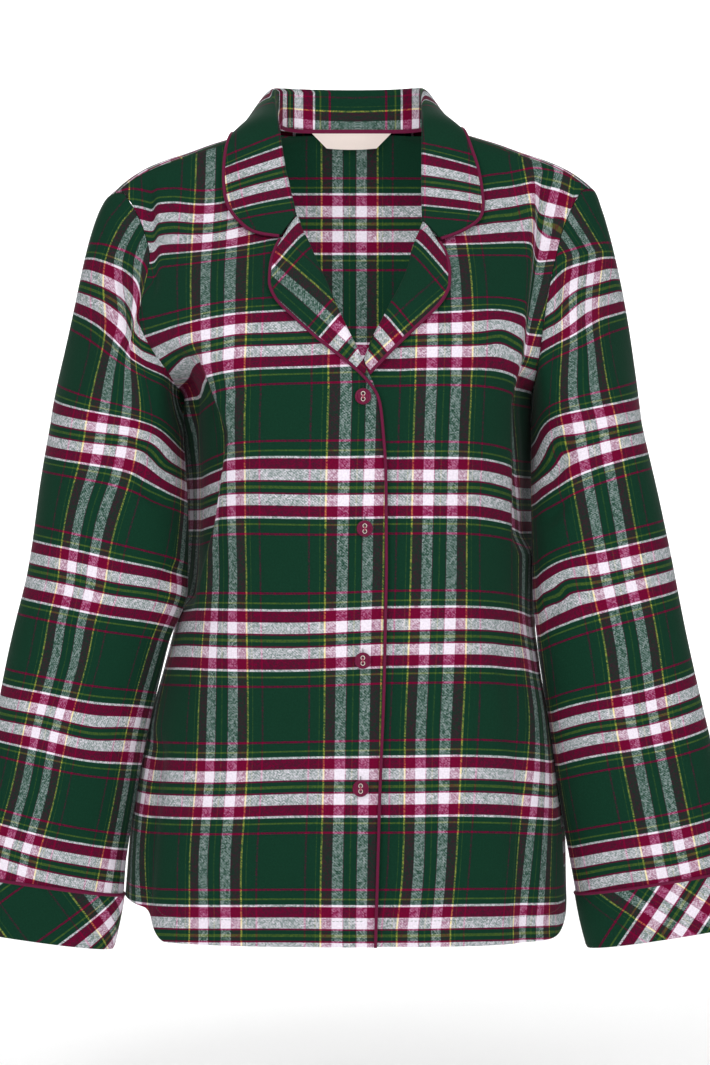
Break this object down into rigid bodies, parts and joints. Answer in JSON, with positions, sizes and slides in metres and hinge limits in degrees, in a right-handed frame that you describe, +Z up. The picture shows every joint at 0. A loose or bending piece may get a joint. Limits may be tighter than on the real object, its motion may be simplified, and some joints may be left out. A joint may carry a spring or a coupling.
{
  "type": "pajama top",
  "caption": "Long-sleeved buttoned pajama top with notched collar, piped edges, cuffs and shirt-tail hem, filled out as worn.",
  "frame": {"origin": "the middle of the back neck seam, where the garment hangs from a neck or a hook", "axes": "+Z up along the garment, +Y towards its back, +X towards the wearer's left; the front faces -Y"},
  "size_m": [0.6421, 0.2321, 0.6925],
  "materials": {
    "flannel": "brushed cotton flannel, dark green, burgundy and pale grey plaid with thin yellow lines",
    "piping": "burgundy cotton cord piping",
    "neck_tape": "burgundy woven tape",
    "label": "pale pink satin, bare",
    "button": "burgundy polyester with a soft gloss"
  },
  "bodies": {
    "root": {"front_right": "flannel", "front_left": "flannel", "back": "flannel", "sleeve_right": "flannel", "sleeve_left": "flannel", "cuff_right": "flannel", "cuff_left": "flannel", "collar": "flannel", "lapel_right": "flannel", "lapel_left": "flannel", "piping_collar": "piping", "piping_front_right": "piping", "piping_lapel_left": "piping", "piping_cuff_right": "piping", "piping_cuff_left": "piping", "neck_tape": "neck_tape", "label": "label", "button_1": "button", "button_2": "button", "button_3": "button", "button_4": "button"}
  },
  "joints": []
}
